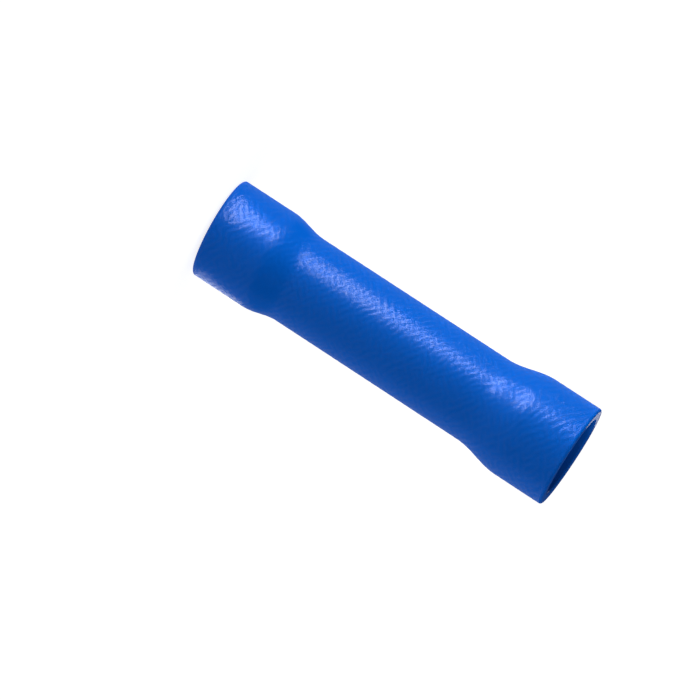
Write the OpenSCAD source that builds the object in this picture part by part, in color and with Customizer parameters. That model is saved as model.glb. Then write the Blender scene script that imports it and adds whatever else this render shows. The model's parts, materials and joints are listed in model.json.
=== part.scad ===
// Insulated butt splice connector: a soft sleeve with two flared mouths, gripped round a crimp barrel.
// It stands on its lower mouth. Z is the axis of both pieces, and z = 0 is the lower rim.

/* [Crimp barrel] */
// Bore that takes the stripped conductor
wire_bore_d = 2.3; // [1.4:0.1:4]
// Thickness of the tube that the barrel is cut from
barrel_wall = 0.85; // [0.5:0.05:1.5]
// Length of the barrel, and of the sleeve's waist that grips it
barrel_l = 13; // [9:0.5:24]
// Bevel that leads the strands into each end of the bore
entry_bevel = 0.2; // [0.05:0.05:0.25]
// Edge break round the outside of each end
edge_break = 0.1; // [0.05:0.05:0.2]
// How far the rolled wire stop stands into the bore
stop_rise = 0.4; // [0.2:0.05:0.6]
// Length of the rolled wire stop along the barrel
stop_l = 1.8; // [1:0.1:3]

/* [Insulating sleeve] */
// Thickness of the sleeve's wall
sleeve_wall = 0.75; // [0.5:0.05:1.5]
// Radial gap between the barrel and the sleeve that grips it
grip_gap = 0.02; // [0.01:0.01:0.1]
// Rounding of the inner and outer edges of both rims
rim_round = 0.15; // [0.05:0.05:0.2]

/* [Lower mouth] */
// How far the lower mouth is opened out past the waist, on the radius
lower_flare = 0.38; // [0.1:0.01:1.2]
// Length of the straight part of the lower mouth
lower_mouth_l = 3.5; // [2:0.1:8]
// Length of the S-shaped taper from the lower mouth to the waist
lower_taper_l = 2.3; // [0.8:0.05:5]

/* [Upper mouth] */
// How far the upper mouth is opened out past the waist, on the radius
upper_flare = 0.51; // [0.1:0.01:1.2]
// Length of the straight part of the upper mouth
upper_mouth_l = 3.2; // [2:0.05:8]
// Length of the S-shaped taper from the waist to the upper mouth
upper_taper_l = 3; // [0.8:0.05:5]

/* [Hidden] */

bore_r = wire_bore_d / 2;
barrel_r = bore_r + barrel_wall;
waist_r = barrel_r + grip_gap;
lower_mouth_r = waist_r + lower_flare;
upper_mouth_r = waist_r + upper_flare;

barrel_z = lower_mouth_l + lower_taper_l;
barrel_top_z = barrel_z + barrel_l;
upper_mouth_z = barrel_top_z + upper_taper_l;
sleeve_l = upper_mouth_z + upper_mouth_l;
stop_z = barrel_z + (barrel_l - stop_l) / 2;

vinyl_blue = [0.01, 0.27, 0.68];
tin_grey = [0.78, 0.77, 0.74];

curve_steps = 16;
round_steps = 4;
$fn = 96;

// Rises smoothly from 0 to 1 as t goes from 0 to 1, level at both ends
function ease(t) = (1 - cos(180 * t)) / 2;

// Rises from 0 to 1 and falls back to 0 as t goes from 0 to 1
function hump(t) = (1 - cos(360 * t)) / 2;

function reverse(line) = [for (i = [len(line) - 1 : -1 : 0]) line[i]];

// S-shaped stretch of a wall between two points, each [radius, height]
function s_curve(from, to) = [
    for (i = [0 : curve_steps])
        let (t = i / curve_steps)
            [from.x + (to.x - from.x) * ease(t), from.y + (to.y - from.y) * t]
];

// Wall of the sleeve from the lower mouth to the upper, at a distance outside the inner wall
function sleeve_line(distance) = concat(
    s_curve([lower_mouth_r + distance, lower_mouth_l], [waist_r + distance, barrel_z]),
    s_curve([waist_r + distance, barrel_top_z], [upper_mouth_r + distance, upper_mouth_z])
);

// Quarter-round edge of a rim about its centre, anticlockwise from a start angle
function rim_edge(centre, start) = [
    for (i = [0 : round_steps])
        let (angle = start + 90 * i / round_steps)
            centre + rim_round * [cos(angle), sin(angle)]
];

// Line along the barrel that dips towards the axis at the rolled wire stop
function stop_line(radius) = [
    for (i = [0 : curve_steps])
        let (t = i / curve_steps)
            [radius - stop_rise * hump(t), stop_z + stop_l * t]
];

module insulating_sleeve() {
    inner_edge = rim_round;
    outer_edge = sleeve_wall - rim_round;
    color(vinyl_blue)
        rotate_extrude()
            polygon(concat(
                rim_edge([lower_mouth_r + outer_edge, rim_round], -90),
                sleeve_line(sleeve_wall),
                rim_edge([upper_mouth_r + outer_edge, sleeve_l - rim_round], 0),
                rim_edge([upper_mouth_r + inner_edge, sleeve_l - rim_round], 90),
                reverse(sleeve_line(0)),
                rim_edge([lower_mouth_r + inner_edge, rim_round], 180)
            ));
}

module crimp_barrel() {
    color(tin_grey)
        rotate_extrude()
            polygon(concat(
                [[barrel_r - edge_break, barrel_z], [barrel_r, barrel_z + edge_break]],
                stop_line(barrel_r),
                [[barrel_r, barrel_top_z - edge_break], [barrel_r - edge_break, barrel_top_z]],
                [[bore_r + entry_bevel, barrel_top_z], [bore_r, barrel_top_z - entry_bevel]],
                reverse(stop_line(bore_r)),
                [[bore_r, barrel_z + entry_bevel], [bore_r + entry_bevel, barrel_z]]
            ));
}

insulating_sleeve();
crimp_barrel();
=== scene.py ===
# A blue insulated butt splice connector, standing on its lower mouth, in metres.
import json
import math

import bpy
import numpy as np
from mathutils import Matrix, Vector


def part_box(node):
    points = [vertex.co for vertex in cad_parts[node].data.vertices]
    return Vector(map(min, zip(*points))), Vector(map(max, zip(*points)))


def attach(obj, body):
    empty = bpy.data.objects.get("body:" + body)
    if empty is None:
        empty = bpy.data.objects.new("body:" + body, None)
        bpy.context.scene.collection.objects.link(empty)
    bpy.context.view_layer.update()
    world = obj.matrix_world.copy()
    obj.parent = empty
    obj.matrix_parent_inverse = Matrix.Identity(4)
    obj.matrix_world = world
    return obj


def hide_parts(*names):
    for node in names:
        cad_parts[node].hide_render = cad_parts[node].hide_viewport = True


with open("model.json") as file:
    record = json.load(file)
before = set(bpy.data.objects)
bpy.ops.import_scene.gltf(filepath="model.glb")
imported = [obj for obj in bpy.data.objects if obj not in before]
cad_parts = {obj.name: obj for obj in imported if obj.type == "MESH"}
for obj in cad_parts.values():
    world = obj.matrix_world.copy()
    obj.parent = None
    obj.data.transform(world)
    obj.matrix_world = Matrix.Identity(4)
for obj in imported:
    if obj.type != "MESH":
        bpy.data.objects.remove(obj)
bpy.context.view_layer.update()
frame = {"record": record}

# Insulating sleeve
# Soft blue PVC tube whose waist grips the metal barrel. Its ends are opened out hot over a mandrel, which
# leaves an S-shaped taper at each and a leathery grain all over. The lower end is cut a little askew.
MM = 0.001


def bore_wall(name):
    """Radius, lowest height and highest height of the wall that the record gives for a bore."""
    bore = next(mount for mount in frame["record"]["mounts"] if mount["name"] == name)
    half = bore["dims"]["length_mm"] * MM / 2
    middle = bore["pos_m"][2]
    return bore["dims"]["r_mm"] * MM, middle - half, middle + half


lower_mouth_r, lower_edge_z, lower_mouth_z = bore_wall("lower_insulation_mouth")
upper_mouth_r, upper_mouth_z, upper_edge_z = bore_wall("upper_insulation_mouth")
barrel_low, barrel_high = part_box("crimp_barrel")
sleeve_low, sleeve_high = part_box("insulating_sleeve")
grip_gap = 0.02 * MM
waist_r = barrel_high[0] + grip_gap
sleeve_wall = sleeve_high[0] - upper_mouth_r
rim_round = lower_edge_z - sleeve_low[2]

sleeve_columns = 280
outer_rows = 296
inner_rows = 28
face_rows = 2
edge_rows = 5
same_point = 1e-9

grain_wave = 0.38 * MM
grain_height = 0.0045 * MM
grain_slant = math.radians(36)
grain_band = 0.35
slant_spread = 0.4
falling_share = 0.7
crest_press = 1.5
grain_fade = 0.15 * MM
grain_seed = 7

cut_slope = math.tan(math.radians(3.6))
cut_reach = 6.0 * MM

vinyl_blue = (0.0, 0.110, 0.57, 1.0)
vinyl_dark = (0.0, 0.094, 0.51, 1.0)
least_blue = 0.3
most_blue = 0.9
satin_low = 0.42
satin_high = 0.52
hollow_gloss = 0.075
crest_gloss = 0.2
cloud_scale = 420.0
fine_grain_scale = 5200.0
fine_grain_height = 0.002 * MM


def ease(t):
    """Rises from 0 to 1 as t does, by half a cosine wave, and stays level outside."""
    return (1 - np.cos(np.pi * np.clip(t, 0, 1))) / 2


def sleeve_radius(z):
    """Inner radius at each height: level in both mouths and the waist, eased on the taper between them."""
    lower = ease((z - lower_mouth_z) / (barrel_low[2] - lower_mouth_z))
    upper = ease((z - barrel_high[2]) / (upper_mouth_z - barrel_high[2]))
    return lower_mouth_r + (waist_r - lower_mouth_r) * lower + (upper_mouth_r - waist_r) * upper


def rim_edge(radius, z, start):
    """Quarter circle of a rim's edge about its centre, anticlockwise from a start angle in degrees."""
    angle = np.radians(start + 90 * np.linspace(0, 1, edge_rows))
    return radius + rim_round * np.cos(angle), z + rim_round * np.sin(angle)


def sleeve_section():
    """Closed outline of the wall, as radii and heights: up the outside, over the upper rim, down the inside
    and under the lower rim, with quarter circles at the rims' edges. The outside comes first."""
    up = np.linspace(lower_edge_z, upper_edge_z, outer_rows)
    down = np.linspace(upper_edge_z, lower_edge_z, inner_rows + 2)[1:-1]
    across = np.linspace(0, 1, face_rows + 2)[1:-1]
    inner, outer = rim_round, sleeve_wall - rim_round
    upper_face = upper_mouth_r + outer + (inner - outer) * across
    lower_face = lower_mouth_r + inner + (outer - inner) * across
    stretches = [
        (sleeve_radius(up) + sleeve_wall, up),
        rim_edge(upper_mouth_r + outer, upper_edge_z, 0),
        (upper_face, np.full(face_rows, sleeve_high[2])),
        rim_edge(upper_mouth_r + inner, upper_edge_z, 90),
        (sleeve_radius(down), down),
        rim_edge(lower_mouth_r + inner, lower_edge_z, 180),
        (lower_face, np.full(face_rows, sleeve_low[2])),
        rim_edge(lower_mouth_r + outer, lower_edge_z, 270),
    ]
    section = np.concatenate([np.stack(stretch, axis=1) for stretch in stretches])
    apart = np.linalg.norm(section - np.roll(section, 1, axis=0), axis=1) > same_point
    return section[apart]


def leather_grain(rows, columns, row_step, column_step):
    """Height of the skin on a grid of rows up the sleeve and columns round it, from -1 to 1: even noise, kept
    only at waves about one grain long that cross the axis on two slants, and pressed flat at the crests."""
    noise = np.random.default_rng(grain_seed).standard_normal((rows, columns))
    along = np.fft.fftfreq(rows, row_step)[:, None] * grain_wave
    around = np.fft.fftfreq(columns, column_step)[None, :] * grain_wave
    band = np.exp(-((np.hypot(along, around) - 1) / grain_band) ** 2)
    slant = np.arctan2(around, along)
    rising = np.exp(-(np.sin(slant - grain_slant) / slant_spread) ** 2)
    falling = np.exp(-(np.sin(slant + grain_slant) / slant_spread) ** 2)
    height = np.fft.ifft2(np.fft.fft2(noise) * band * (rising + falling_share * falling)).real
    return np.tanh(crest_press * height / height.std())


def revolve(section, columns, lift=0.0):
    """Points of a section carried round the Z axis in equal steps, each moved out from the axis by lift."""
    turn = 2 * np.pi * np.arange(columns) / columns
    radius = section[:, :1] + lift
    height = np.broadcast_to(section[:, 1:], (len(section), columns))
    return np.stack([radius * np.cos(turn), radius * np.sin(turn), height], axis=-1)


def ring_piece(name, points):
    """Smooth piece over a grid of points that closes on itself both ways, round its section and round Z."""
    index = np.arange(points[..., 0].size).reshape(points.shape[:2])
    beside = np.roll(index, -1, axis=1)
    above = np.roll(index, -1, axis=0)
    corner = np.roll(beside, -1, axis=0)
    quads = np.stack([index, beside, corner, above], axis=-1).reshape(-1, 4)
    mesh = bpy.data.meshes.new(name)
    mesh.vertices.add(index.size)
    mesh.vertices.foreach_set("co", points.ravel())
    mesh.loops.add(quads.size)
    mesh.loops.foreach_set("vertex_index", quads.ravel())
    mesh.polygons.add(len(quads))
    mesh.polygons.foreach_set("loop_start", np.arange(0, quads.size, 4))
    mesh.polygons.foreach_set("use_smooth", np.ones(len(quads), bool))
    mesh.update(calc_edges=True)
    piece = bpy.data.objects.new(name, mesh)
    bpy.context.collection.objects.link(piece)
    return piece


class Shade:
    """A socket of a node tree, or the tree alone. Arithmetic adds Math nodes, and node() adds any other."""

    def __init__(self, tree, socket=None):
        self.tree = tree
        self.socket = socket

    def node(self, kind, settings={}, inputs={}, output=0):
        """A new node of a kind: its settings are set first, then its inputs are set or linked."""
        made = self.tree.nodes.new(kind)
        for name, value in settings.items():
            setattr(made, name, value)
        for name, value in inputs.items():
            if isinstance(value, Shade):
                self.tree.links.new(value.socket, made.inputs[name])
            else:
                made.inputs[name].default_value = value
        return Shade(self.tree, made.outputs[output] if made.outputs else None)

    def math(self, operation, first, second):
        return self.node("ShaderNodeMath", {"operation": operation}, {0: first, 1: second})

    def __add__(self, other):
        return self.math("ADD", self, other)

    def __radd__(self, other):
        return self.math("ADD", other, self)

    def __sub__(self, other):
        return self.math("SUBTRACT", self, other)

    def __rsub__(self, other):
        return self.math("SUBTRACT", other, self)

    def __mul__(self, other):
        return self.math("MULTIPLY", self, other)

    def __rmul__(self, other):
        return self.math("MULTIPLY", other, self)

    def __truediv__(self, other):
        return self.math("DIVIDE", self, other)

    def __rtruediv__(self, other):
        return self.math("DIVIDE", other, self)


def new_finish(name):
    """A new material with an empty node tree, and a Shade to build in it."""
    finish = bpy.data.materials.new(name)
    finish.use_nodes = True
    finish.node_tree.nodes.clear()
    return finish, Shade(finish.node_tree)


def mixed_colour(shade, share, first, second):
    """A colour that goes from a first to a second as a share goes from 0 to 1."""
    return shade.node(
        "ShaderNodeMix",
        {"data_type": "RGBA", "clamp_factor": True},
        {"Factor": share, "A": first, "B": second},
        output="Result",
    )


def blue_vinyl():
    """Satin PVC: blue in slow clouds, with a trace of metal that tints part of its gloss. The clear gloss
    over it is stronger on the crests of the grain, and a finer grain than the mesh holds is bump."""
    finish, shade = new_finish("blue_vinyl")
    place = shade.node("ShaderNodeTexCoord", output="Object")
    fine = shade.node("ShaderNodeTexNoise", {}, {"Vector": place, "Scale": fine_grain_scale, "Detail": 2.0})
    cloud = shade.node("ShaderNodeTexNoise", {}, {"Vector": place, "Scale": cloud_scale, "Detail": 2.0})
    crest = shade.node("ShaderNodeAttribute", {"attribute_name": "grain"}, output="Fac")
    blueness = least_blue + (most_blue - least_blue) * cloud
    bump = shade.node("ShaderNodeBump", {}, {"Height": fine, "Distance": fine_grain_height, "Strength": 1.0})
    skin = shade.node(
        "ShaderNodeBsdfPrincipled",
        {},
        {
            "Base Color": mixed_colour(shade, blueness, vinyl_dark, vinyl_blue),
            "Metallic": 0.025,
            "Roughness": satin_low + (satin_high - satin_low) * cloud,
            "Normal": bump,
            "Specular IOR Level": 0.0,
            "Coat Weight": hollow_gloss + (crest_gloss - hollow_gloss) * crest,
            "Coat Roughness": 0.23,
        },
    )
    shade.node("ShaderNodeOutputMaterial", {}, {"Surface": skin})
    return finish


wall_section = sleeve_section()
row_step = (upper_edge_z - lower_edge_z) / (outer_rows - 1)
column_step = 2 * math.pi * (waist_r + sleeve_wall) / sleeve_columns
outside_z = wall_section[:outer_rows, 1:]
from_rim = np.minimum(outside_z - lower_edge_z, upper_edge_z - outside_z)
leather = leather_grain(outer_rows, sleeve_columns, row_step, column_step)

# The grain only cuts in: it runs from -2 in the deepest hollows to 0 on the crests, at the rims and inside.
grain = np.zeros((len(wall_section), sleeve_columns))
grain[:outer_rows] = (leather - 1) * ease(from_rim / grain_fade)
wall = revolve(wall_section, sleeve_columns, grain_height * grain)

# The askew cut lifts the lower rim towards +X, and the lift fades out above the lower mouth.
near_cut = 1 - ease((wall[..., 2] - lower_mouth_z) / cut_reach)
wall[..., 2] += cut_slope * near_cut * (wall[..., 0] + lower_mouth_r + sleeve_wall)

sleeve = ring_piece("vinyl_sleeve", wall)
sleeve.data.attributes.new("grain", "FLOAT", "POINT").data.foreach_set("value", (1 + grain / 2).ravel())
sleeve.data.materials.append(blue_vinyl())
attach(sleeve, "root")
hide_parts("insulating_sleeve")

# Crimp barrel
# Drawn copper tube, cut to length, bevelled inside both ends and tin plated. A wire stop is rolled in round
# its middle. The sleeve's waist grips it, and it shows only deep in each mouth.
bore_r, lower_bevel_z, stop_low = bore_wall("lower_wire_bore")
stop_high, upper_bevel_z = bore_wall("upper_wire_bore")[1:]
barrel_r = barrel_high[0]
entry_bevel = lower_bevel_z - barrel_low[2]
edge_break = 0.1 * MM
stop_rise = 0.4 * MM
corner_ease = 0.03 * MM

barrel_columns = 128
tube_rows = 12
stop_rows = 21

tin = (0.78, 0.77, 0.74, 1.0)
tin_dull = (0.66, 0.65, 0.62, 1.0)
cloud_share = 0.7
line_share = 0.5
tin_roughness = 0.18
cloud_roughness = 0.16
line_roughness = 0.12
tin_cloud_scale = 1500.0
drawn_line_scale = 9000.0
drawn_line_squeeze = (1.0, 1.0, 0.04)


def tube_line(radius, low, high):
    """Wall of the tube between two heights: straight, with one cosine wave inwards at the wire stop."""
    z = np.concatenate([
        np.linspace(low, stop_low, tube_rows),
        np.linspace(stop_low, stop_high, stop_rows)[1:-1],
        np.linspace(stop_high, high, tube_rows),
    ])
    along = np.clip((z - stop_low) / (stop_high - stop_low), 0, 1)
    return np.stack([radius - stop_rise * (1 - np.cos(2 * np.pi * along)) / 2, z], axis=1)


def ease_corners(outline):
    """The outline with each point split in three: a step back, one just inside the corner and a step on."""
    back = np.roll(outline, 1, axis=0) - outline
    on = np.roll(outline, -1, axis=0) - outline
    back *= corner_ease / np.linalg.norm(back, axis=1, keepdims=True)
    on *= corner_ease / np.linalg.norm(on, axis=1, keepdims=True)
    return np.stack([outline + back, outline + (back + on) / 4, outline + on], axis=1).reshape(-1, 2)


def tinned_copper():
    """Bright tin plating, a little clouded, with the faint long lines that drawing leaves on the tube."""
    finish, shade = new_finish("tinned_copper")
    place = shade.node("ShaderNodeTexCoord", output="Object")
    drawn = shade.node("ShaderNodeVectorMath", {"operation": "MULTIPLY"}, {0: place, 1: drawn_line_squeeze})
    line = shade.node("ShaderNodeTexNoise", {}, {"Vector": drawn, "Scale": drawn_line_scale, "Detail": 2.0})
    cloud = shade.node("ShaderNodeTexNoise", {}, {"Vector": place, "Scale": tin_cloud_scale, "Detail": 3.0})
    brightness = cloud_share * cloud + line_share * line
    metal = shade.node(
        "ShaderNodeBsdfPrincipled",
        {},
        {
            "Base Color": mixed_colour(shade, brightness, tin_dull, tin),
            "Metallic": 1.0,
            "Roughness": tin_roughness + cloud_roughness * cloud + line_roughness * line,
        },
    )
    shade.node("ShaderNodeOutputMaterial", {}, {"Surface": metal})
    return finish


outside = tube_line(barrel_r, barrel_low[2] + edge_break, barrel_high[2] - edge_break)
inside = tube_line(bore_r, lower_bevel_z, upper_bevel_z)[::-1]
upper_end = [(barrel_r - edge_break, barrel_high[2]), (bore_r + entry_bevel, barrel_high[2])]
lower_end = [(bore_r + entry_bevel, barrel_low[2]), (barrel_r - edge_break, barrel_low[2])]
tube_section = ease_corners(np.concatenate([outside, upper_end, inside, lower_end]))
barrel = ring_piece("tin_barrel", revolve(tube_section, barrel_columns))
barrel.data.materials.append(tinned_copper())
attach(barrel, "root")
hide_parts("crimp_barrel")

# Floor, light and camera
# A white sheet lies under the connector. A low broad key panel and four dimmer fills light it, and five
# small panels show only in its gloss: as the long highlight, a glint along the shaded side and one on the
# upper rim.
floor_size = 8.0
paper_white = (0.9, 0.9, 0.9, 1.0)
plain_white = (1.0, 1.0, 1.0, 1.0)
glow_strength = 1.7
glow_share = 0.13
near_share = 0.375
far_share = 0.46
near_reach = 0.08
ambient = 0.13


def seen_directly(shade):
    """1 for a ray that shows the background: from the camera, or by a reflection or through glass."""
    camera_ray, glossy_ray, through_ray = [
        shade.node("ShaderNodeLightPath", output=f"Is {ray} Ray")
        for ray in ("Camera", "Glossy", "Transmission")
    ]
    return shade.math("MAXIMUM", shade.math("MAXIMUM", camera_ray, glossy_ray), through_ray)


def white_sheet():
    """White paper with a glow that brings it up to plain white. Seen directly it glows more, but less near
    the middle, where the lamps already light it, so that the shadow round the connector stays."""
    finish, shade = new_finish("white_sheet")
    place = shade.node("ShaderNodeTexCoord", output="Object")
    distance = shade.node("ShaderNodeVectorMath", {"operation": "LENGTH"}, {0: place}, output="Value")
    reach = distance / near_reach
    away = 1 - 1 / (1 + reach * reach)
    share = glow_share + seen_directly(shade) * (near_share + (far_share - near_share) * away)
    paper = shade.node("ShaderNodeBsdfDiffuse", {}, {"Color": paper_white})
    glow = shade.node("ShaderNodeEmission", {}, {"Color": plain_white, "Strength": glow_strength})
    mixed = shade.node("ShaderNodeMixShader", {}, {0: share, 1: paper, 2: glow})
    shade.node("ShaderNodeOutputMaterial", {}, {"Surface": mixed})
    return finish


half_floor = floor_size / 2
floor_corners = [
    (x * half_floor, y * half_floor, sleeve_low[2]) for x, y in ((-1, -1), (1, -1), (1, 1), (-1, 1))
]
floor = bpy.data.objects.new("floor", bpy.data.meshes.new("floor"))
floor.data.from_pydata(floor_corners, [], [(0, 1, 2, 3)])
floor.data.materials.append(white_sheet())
bpy.context.collection.objects.link(floor)

world = bpy.data.worlds.new("studio")
world.use_nodes = True
world.node_tree.nodes.clear()
air = Shade(world.node_tree)
air_glow = air.node("ShaderNodeBackground", {}, {"Color": plain_white, "Strength": ambient})
air.node("ShaderNodeOutputWorld", {}, {"Surface": air_glow})
bpy.context.scene.world = world
bpy.context.scene.view_settings.view_transform = "Standard"


def turned(place, right, up, back):
    """Matrix of an object at a place, whose X, Y and Z axes point right, up and back."""
    return Matrix.Translation(place) @ Matrix((right, up, back)).transposed().to_4x4()


def soft_panel(name, place, facing, along, width, length, brightness, gloss_only=False):
    """A soft rectangular lamp at a place, of a brightness where 1 is white, whose length lies along a line.
    One for the gloss only lights nothing, and the others don't show in the gloss."""
    lamp = bpy.data.lights.new(name, "AREA")
    lamp.shape = "RECTANGLE"
    lamp.size = width
    lamp.size_y = length
    lamp.energy = brightness * math.pi * width * length
    panel = bpy.data.objects.new(name, lamp)
    back = -Vector(facing).normalized()
    side = Vector(along).cross(back).normalized()
    panel.matrix_world = turned(place, side, back.cross(side), back)
    panel.visible_camera = False
    panel.visible_diffuse = not gloss_only
    panel.visible_glossy = gloss_only
    bpy.context.collection.objects.link(panel)


up_way = Vector((0.0, 0.0, 1.0))
glint_way = Vector((-0.77, -0.64, 0.0))
glint_start = Vector((-1.4, -2.6, 0.05)) * MM
glint_brightness = 26.5
soft_panel(
    "glint_far", place=glint_start + glint_way * 0.083, facing=up_way, along=glint_way,
    width=0.044, length=0.096, brightness=glint_brightness, gloss_only=True,
)
soft_panel(
    "glint_near", place=glint_start + glint_way * 0.01425, facing=up_way, along=glint_way,
    width=0.007, length=0.0225, brightness=glint_brightness, gloss_only=True,
)
soft_panel(
    "glint_back", place=glint_start + glint_way * 0.135 + up_way * 0.003, facing=-glint_way, along=up_way,
    width=0.045, length=0.006, brightness=12.5, gloss_only=True,
)
soft_panel(
    "glint_low", place=Vector((9.6, 11.9, 0.05)) * MM, facing=up_way, along=(0.47, 0.883, 0.0),
    width=0.0095, length=0.022, brightness=4.8, gloss_only=True,
)
soft_panel(
    "glint_rim", place=Vector((-3.0, 9.0, 26.6)) * MM, facing=(0.0, -1.0, 0.0), along=up_way,
    width=0.0018, length=0.0016, brightness=5.0, gloss_only=True,
)

key_way = Vector((-0.94, -0.34, 0.0))
soft_panel(
    "key", place=key_way * 0.15 + up_way * 0.014, facing=-key_way, along=up_way,
    width=0.16, length=0.026, brightness=17.6,
)
soft_panel(
    "side_fill", place=(0.16, 0.06, 0.05), facing=(-0.16, -0.06, -0.03), along=up_way,
    width=0.16, length=0.10, brightness=2.4,
)
soft_panel(
    "front_fill", place=(0.09, -0.125, 0.065), facing=(-0.09, 0.125, -0.04), along=up_way,
    width=0.06, length=0.06, brightness=2.8,
)
soft_panel(
    "top_fill", place=(0.0, 0.0, 0.065), facing=(0.0, 0.0, -1.0), along=(0.0, 1.0, 0.0),
    width=0.03, length=0.03, brightness=1.2,
)
soft_panel(
    "back_fill", place=(-0.08, 0.18, 0.06), facing=(0.08, -0.18, -0.04), along=up_way,
    width=0.16, length=0.10, brightness=0.7,
)

image_px = 700
far_rim_px = Vector((215.9, 224.8))
near_rim_px = Vector((570.1, 456.6))
camera_distance = 0.27
camera_rise = math.radians(8.1)
sensor_mm = 36.0

# The camera looks along +Y and a little down, rolled so that the axis runs between the two rims' pixels.
axis_px = near_rim_px - far_rim_px
axis_way = Vector((axis_px.x, -axis_px.y)).normalized()
camera_back = Vector((0.0, -math.cos(camera_rise), math.sin(camera_rise)))
level = Vector((1.0, 0.0, 0.0))
upright = camera_back.cross(level)
camera_right = level * axis_way.y + upright * axis_way.x
camera_up = upright * axis_way.y - level * axis_way.x
focal_px = axis_px.length * camera_distance / ((sleeve_high[2] - sleeve_low[2]) * math.cos(camera_rise))
aside = ((far_rim_px + near_rim_px) / 2 - Vector((image_px, image_px)) / 2) * camera_distance / focal_px
middle = Vector((0.0, 0.0, (sleeve_low[2] + sleeve_high[2]) / 2))
camera_place = middle + camera_back * camera_distance - camera_right * aside.x + camera_up * aside.y

camera = bpy.data.objects.new("camera", bpy.data.cameras.new("camera"))
camera.data.sensor_width = sensor_mm
camera.data.lens = sensor_mm * focal_px / image_px
camera.data.clip_start = 0.01
camera.matrix_world = turned(camera_place, camera_right, camera_up, camera_back)
bpy.context.collection.objects.link(camera)
bpy.context.scene.camera = camera
